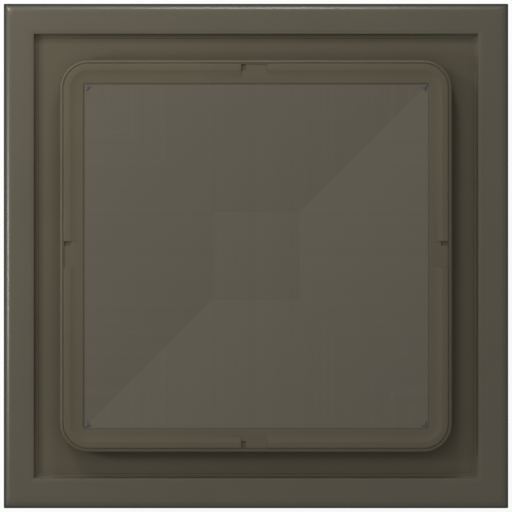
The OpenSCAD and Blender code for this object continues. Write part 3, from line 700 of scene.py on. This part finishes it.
CLIP_HALF = pane_half - 3.7 * MM
CLIP_R = 3.9 * MM
clip_low, clip_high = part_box("corner_clips")[0].z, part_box("corner_clips")[1].z


def clip_outline(angle):
    """Radius of a triangle, cos 60 / cos of the angle to the nearest side, with its points cut."""
    part = np.mod(angle, 2 * math.pi / 3) - math.pi / 3
    return np.minimum(0.5 / np.cos(part), 0.9)


clip_angle = np.linspace(0, 2 * math.pi, 36, endpoint=False)
clip_scale = np.array([1.0, 1.0, 0.86, 0.0])
clip_level = np.array([clip_low, clip_high - 0.2 * MM, clip_high, clip_high])
clip_points, clip_faces = [], []
for corner_x, corner_y in ((1, 1), (-1, 1), (-1, -1), (1, -1)):
    out = math.atan2(corner_y, corner_x)
    radius = CLIP_R * clip_outline(clip_angle - out)[:, None] * clip_scale[None, :]
    ring_x = corner_x * CLIP_HALF + radius * np.cos(clip_angle)[:, None]
    ring_y = corner_y * CLIP_HALF + radius * np.sin(clip_angle)[:, None]
    grid = np.stack([ring_x, ring_y, np.broadcast_to(clip_level, ring_x.shape)], axis=-1)
    first = sum(len(p) for p in clip_points)
    clip_points.append(grid.reshape(-1, 3))
    clip_faces += (grid_faces(36, 4, True, False) + first).tolist()
    clip_faces.append([first + 4 * k for k in range(36)])
clips = put_in("pane_corner_clips", np.concatenate(clip_points), clip_faces, 40)
dress(clips, dark_clip, "lid", "dark_clip", "corner_clips")
print("corner clips:", len(clips.data.polygons), "faces")

# %% [markdown]
# The seal is a soft bulb on the throat's top edge. A real bulb is round above and grips the
# wall with two legs below, so its closed profile is an arc joined to a narrow slot.
# %% Bulb seal

seal_half, seal_foot, seal_top = half_and_levels("lid_seal")
SEAL_LEG = 1.5 * MM
THROAT_WALL = 2.5 * MM
throat_half = seal_half - SEAL_LEG
throat_in = throat_half - THROAT_WALL
seal_in = throat_in - SEAL_LEG
bulb_r = (seal_half - seal_in) / 2
bulb_squash = (seal_top - throat_top) / bulb_r
bulb = arc((0, 0), 1.0, 0, 180, 14) * (bulb_r, bulb_r * bulb_squash) + ((seal_half + seal_in) / 2, throat_top)
seal_profile = np.vstack([bulb, [seal_in + 0.4 * MM, seal_foot], [throat_in, seal_foot],
                          [throat_in, throat_top], [throat_half, throat_top],
                          [throat_half, seal_foot], [seal_half - 0.4 * MM, seal_foot]])
seal = ring_piece("bulb_seal", carry(seal_profile[:, 0], 18 * MM - (throat_half - seal_profile[:, 0]),
                                     seal_profile[:, 1], np.linspace(-0.14, 0.14, 9), 12), 50)
dress(seal, seal_rubber, "base", "seal_rubber", "lid_seal")

# %% [markdown]
# ## Ceiling side
# The knob has six finger lobes. Its radius at an angle is a mean plus a cosine of six times
# that angle, and both ends roll over on a quarter of an ellipse, so it is one smooth surface
# of angle and profile. The bore for the screw is sunk in its underside.
# %% Knob

knob_lo, knob_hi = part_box("crank_knob")
knob_r = knob_hi.x
KNOB_HUB = 4.0 * MM
knob_foot, knob_top = knob_lo.z, knob_hi.z - KNOB_HUB
LOBES = 6
LOBE_DEPTH = 2.6 * MM
EDGE = 3.0 * MM


def knob_grid(turns=144):
    """Radius = (mean + depth * cos(lobes * angle)) less the edge's roll, for each profile point."""
    roll = np.radians(np.linspace(90, 0, 9))
    inset = np.concatenate([EDGE - EDGE * np.cos(roll), (EDGE - EDGE * np.cos(roll))[::-1]])
    level = np.concatenate([knob_foot + EDGE - EDGE * np.sin(roll),
                            (knob_top - EDGE + EDGE * np.sin(roll))[::-1]])
    angle = np.linspace(0, 2 * math.pi, turns, endpoint=False)[:, None]
    edge = knob_r - LOBE_DEPTH + LOBE_DEPTH * np.cos(LOBES * angle) - inset[None, :]
    dish_r = np.array([4.2, 4.2, 9.0, 13.0]) * MM
    dish_z = knob_foot + np.array([3.0, 1.4, 0.8, 0.0]) * MM
    hub_r = np.array([10.0, 8.0, 7.6, 4.0, 4.0]) * MM
    hub_z = np.array([knob_top, knob_top + 1 * MM, knob_hi.z, knob_hi.z, knob_foot + 3 * MM])
    radius = np.hstack([np.repeat(dish_r[None, :], turns, 0), edge, np.repeat(hub_r[None, :], turns, 0)])
    height = np.concatenate([dish_z, level, hub_z])
    return np.stack([radius * np.cos(angle), radius * np.sin(angle),
                     np.broadcast_to(height, radius.shape)], axis=-1)


knob = ring_piece("finger_knob", knob_grid(), 40)
dress(knob, knob_white, "crank", "knob_plastic", "crank_knob")

# %% [markdown]
# The worm is the one part that needs a true helix. Its radius depends on the height less a
# share of the pitch for each turn, and a trapezium wave of that gives flanks and flat crests.
# The same rule as the frame's worm is used here with a finer grid.
# %% Worm thread

worm_lo, worm_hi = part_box("worm")
WORM_PITCH = 1.5 * math.pi * MM
WORM_ROOT = 4.5 * MM
WORM_CREST = worm_hi.x
WORM_BORE = 4.05 * MM
TOOTH_RISE = 1.5 * MM
FLANK_ANGLE = 20
PLAY = 1.3 * MM


def worm_grid(turns=72, rings=160):
    """Radius = root + (crest - root) * trapezium(u), u = (z - pitch * angle / 360) / pitch."""
    z_mid = (worm_lo.z + worm_hi.z) / 2
    z = np.linspace(worm_lo.z, worm_hi.z, rings)[None, :]
    angle = np.linspace(0, 360, turns, endpoint=False)[:, None]
    u = (z - z_mid - WORM_PITCH * (angle - 90) / 360) / WORM_PITCH
    off_crest = np.abs(u - np.floor(u) - 0.5) * WORM_PITCH
    middle = (WORM_PITCH / 2 - PLAY / 2) / 2
    lean = TOOTH_RISE * math.tan(math.radians(FLANK_ANGLE))
    rise = np.clip((middle + lean - off_crest) / (2 * lean), 0, 1)
    radius = WORM_ROOT + (WORM_CREST - WORM_ROOT) * rise
    bore = np.full((turns, 2), WORM_BORE)
    radius = np.hstack([radius, bore])
    height = np.concatenate([z[0], [worm_hi.z, worm_lo.z]])
    a = np.radians(angle)
    return np.stack([radius * np.cos(a), radius * np.sin(a), np.broadcast_to(height, radius.shape)], axis=-1)


worm = ring_piece("worm_thread", worm_grid(), 25)
dress(worm, turned, "crank", "worm_steel", "worm")

# %% [markdown]
# ## The rest of the frame
# The exact solids of the working parts are right as they are, but real edges are never
# perfectly sharp. A merged copy of each node takes a small Bevel, and the copy stands for its
# node. Parts that have many fine facets, and thin sheets, keep their node and take only a finish.
# %% Softened copies of the solid nodes

ROUND_EDGES = {
    "operator_crossbar": 0.4, "operator_housing": 0.5, "operator_cover": 0.5, "lift_tracks": 0.25,
    "lift_arms": 0.35, "base_hinge_leaves": 0.2, "lid_hinge_leaves": 0.2, "ceiling_garnish": 0.5,
    "screen_frame": 0.4, "screen_grommet": 0.25, "trim_clips": 0.3, "crossbar_screws": 0.3,
    "base_leaf_screws": 0.2, "lid_leaf_screws": 0.15, "operator_screws": 0.2, "housing_screws": 0.25,
    "rollers": 0.25, "roller_axle": 0.25, "arm_shaft": 0.3, "crank_shaft": 0.3, "knob_screw": 0.2,
    "hinge_pins": 0.2, "worm_bushes": 0.15, "shaft_bushes": 0.15, "thrust_washers": 0.1,
    "arm_clips": 0.1, "axle_clips": 0.1,
}
FINISHES = {
    "base_frame": field_bronze, "flange_gasket": butyl, "trim_clips": black_nylon,
    "base_hinge_leaves": stainless, "hinge_pins": stainless, "base_leaf_screws": zinc,
    "operator_crossbar": galvanised, "crossbar_screws": zinc, "operator_housing": off_white,
    "operator_cover": off_white, "operator_screws": zinc, "housing_screws": zinc,
    "worm_bushes": plain_nylon, "shaft_bushes": plain_nylon, "screen_frame": off_white,
    "insect_screen": fly_mesh, "screen_grommet": off_white, "ceiling_garnish": off_white,
    "pane_seal": seal_rubber, "lid_hinge_leaves": stainless, "lid_leaf_screws": zinc,
    "lift_tracks": galvanised, "arm_shaft": zinc, "worm_gear": plain_nylon, "lift_arms": galvanised,
    "arm_clips": spring, "roller_axle": zinc, "axle_clips": spring, "rollers": plain_nylon,
    "crank_shaft": zinc, "thrust_washers": zinc, "knob_screw": zinc,
}
body_of = {node: body for body, nodes in frame["record"]["behaviour"]["bodies"].items() for node in nodes}
slot_of = {part["node"]: part["material_slot"] for part in frame["record"]["subparts"]}


def softened(node, width):
    """A merged copy of a node with every edge over 30 degrees rounded to a width."""
    mesh = frame["nodes"][node].data.copy()
    shape = bmesh.new()
    shape.from_mesh(mesh)
    bmesh.ops.remove_doubles(shape, verts=shape.verts, dist=2e-6)
    bmesh.ops.dissolve_limit(shape, angle_limit=math.radians(0.5), verts=shape.verts, edges=shape.edges)
    shape.to_mesh(mesh)
    shape.free()
    mesh.polygons.foreach_set("use_smooth", np.ones(len(mesh.polygons), bool))
    mesh.set_sharp_from_angle(angle=math.radians(30))
    copy = bpy.data.objects.new(node + "_softened", mesh)
    bpy.context.scene.collection.objects.link(copy)
    bevel = copy.modifiers.new("edges", "BEVEL")
    bevel.width = width * MM
    bevel.segments = 2
    bevel.limit_method = "ANGLE"
    bevel.angle_limit = math.radians(30)
    bevel.harden_normals = True
    bevel.use_clamp_overlap = True
    flatten = copy.modifiers.new("flat faces", "WEIGHTED_NORMAL")
    flatten.keep_sharp = True
    return copy


for node, width in ROUND_EDGES.items():
    dress(softened(node, width), FINISHES[node], body_of[node], slot_of[node], node)
kept_nodes = [node for node in FINISHES if node not in ROUND_EDGES]
for node in kept_nodes:
    frame["nodes"][node].data.materials.clear()
    frame["nodes"][node].data.materials.append(FINISHES[node])
print("softened copies:", len(ROUND_EDGES), "kept as they are:", kept_nodes)

# %% [markdown]
# ## Light, ground and camera
# The cover is seen from straight above in soft studio light. Camera, glossy and transmission
# rays find a white world and a pale floor, so metal mirrors them, while other rays get a low
# level. The floor also gives diffuse rays some light upwards, which shows the underside, and it
# is see-through from below. Both are choices of this stage.
# %% Stage

FLOOR_SIZE = 8.0
FLOOR_GAP = 1.0 * MM
FLOOR_WHITE = (0.92, 0.92, 0.92)
FLOOR_AROUND = (0.03, 0.03, 0.03)
FLOOR_GLOW = 0.92
FLOOR_UPLIGHT = 0.30
AMBIENT = 0.42
scene = bpy.context.scene
low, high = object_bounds()
middle = (low + high) / 2


def white_rays(tree, rays, strength):
    """A strength for camera, glossy and transmission rays, and 0 for all others."""
    seen = rays.outputs["Is Camera Ray"]
    for kind in ("Is Glossy Ray", "Is Transmission Ray"):
        either = add_node(tree, "ShaderNodeMath", operation="MAXIMUM")
        tree.links.new(seen, either.inputs[0])
        tree.links.new(rays.outputs[kind], either.inputs[1])
        seen = either.outputs["Value"]
    scaled = add_node(tree, "ShaderNodeMath", operation="MULTIPLY")
    scaled.inputs[1].default_value = strength
    tree.links.new(seen, scaled.inputs[0])
    return scaled.outputs["Value"]


def ground(name, z, size):
    """A flat square floor, white to the camera, that is see-through from underneath."""
    corners = np.array([[-1, -1], [1, -1], [1, 1], [-1, 1]]) * size / 2
    points = np.hstack([corners, np.full((4, 1), z)])
    floor = put_in(name, points, [[0, 1, 2, 3]])
    material, tree, shader, _ = new_finish("pale floor", FLOOR_WHITE, 0.9)
    glow = add_node(tree, "ShaderNodeEmission", inputs={"Color": (1, 1, 1, 1), "Strength": 1.0})
    rays = add_node(tree, "ShaderNodeLightPath")
    paint = add_node(tree, "ShaderNodeMix", data_type="RGBA")
    paint.inputs[6].default_value = (*FLOOR_AROUND, 1.0)
    paint.inputs[7].default_value = (*FLOOR_WHITE, 1.0)
    tree.links.new(rays.outputs["Is Camera Ray"], paint.inputs[0])
    tree.links.new(paint.outputs[2], shader.inputs["Base Color"])
    share = white_rays(tree, rays, FLOOR_GLOW)
    uplight = add_node(tree, "ShaderNodeMath", operation="MULTIPLY_ADD")
    uplight.inputs[1].default_value = FLOOR_UPLIGHT
    tree.links.new(rays.outputs["Is Diffuse Ray"], uplight.inputs[0])
    tree.links.new(share, uplight.inputs[2])
    share = uplight.outputs["Value"]
    lit = add_node(tree, "ShaderNodeMixShader")
    tree.links.new(share, lit.inputs["Fac"])
    tree.links.new(shader.outputs["BSDF"], lit.inputs[1])
    tree.links.new(glow.outputs["Emission"], lit.inputs[2])
    one_sided = add_node(tree, "ShaderNodeMixShader")
    tree.links.new(add_node(tree, "ShaderNodeNewGeometry").outputs["Backfacing"], one_sided.inputs["Fac"])
    tree.links.new(lit.outputs["Shader"], one_sided.inputs[1])
    tree.links.new(add_node(tree, "ShaderNodeBsdfTransparent").outputs["BSDF"], one_sided.inputs[2])
    tree.links.new(one_sided.outputs["Shader"], tree.nodes["Material Output"].inputs["Surface"])
    floor.data.materials.append(material)
    return floor


ground("floor", low.z - FLOOR_GAP, FLOOR_SIZE)

world = bpy.data.worlds.new("studio")
scene.world = world
world.use_nodes = True
backdrop = world.node_tree.nodes["Background"]
backdrop.inputs["Color"].default_value = (1, 1, 1, 1)
seen_world = add_node(world.node_tree, "ShaderNodeLightPath")
level = add_node(world.node_tree, "ShaderNodeMapRange", inputs={"To Min": AMBIENT, "To Max": 1.0})
world.node_tree.links.new(white_rays(world.node_tree, seen_world, 1.0), level.inputs["Value"])
world.node_tree.links.new(level.outputs["Result"], backdrop.inputs["Strength"])
print("floor at", round((low.z - FLOOR_GAP) / MM, 1), "mm")

# %% [markdown]
# Four lamps face the cover. A broad one stands high, behind it and to its left. Two small ones,
# low at the rear and at the left, draw a bright line on the rim's round, and a fourth carries
# the line round the corner between them. They light flat areas only at a low angle.
# %% Lamps


def soft_lamp(name, place, size, power):
    """A square area lamp that faces the middle of the object."""
    light = bpy.data.lights.new(name, "AREA")
    light.shape = "SQUARE"
    light.size = size
    light.energy = power
    lamp = bpy.data.objects.new(name, light)
    lamp.location = place
    aim = middle - lamp.location
    lamp.rotation_euler = aim.to_track_quat("-Z", "Y").to_euler()
    scene.collection.objects.link(lamp)
    return lamp


soft_lamp("overhead", (-1.2, 1.2, 3.4), 1.6, 15.5)
soft_lamp("rear strip", (0.0, 0.80, 0.47), 0.155, 2.8)
soft_lamp("left strip", (-0.80, 0.0, 0.47), 0.155, 2.8)
soft_lamp("corner", (-0.50, 0.50, 0.47), 0.14, 1.8)

# %% [markdown]
# The camera looks straight down through a very long lens, so that the lid, which stands higher
# than the rim, is hardly enlarged. The view is a little wider than the cover.
# %% Camera

LENS = 1000.0
SENSOR = 36.0
MARGIN = 1.01527
camera_data = bpy.data.cameras.new("camera")
camera_data.lens = LENS
camera_data.sensor_width = SENSOR
camera = bpy.data.objects.new("camera", camera_data)
view_width = 2 * rim_half * MARGIN
distance = view_width * LENS / SENSOR
camera.location = (0.0, 0.0, rim_foot + distance)
camera_data.clip_end = distance * 3
scene.collection.objects.link(camera)
scene.camera = camera
scene.view_settings.view_transform = "Standard"
print("camera", round(distance, 2), "m above the rim")
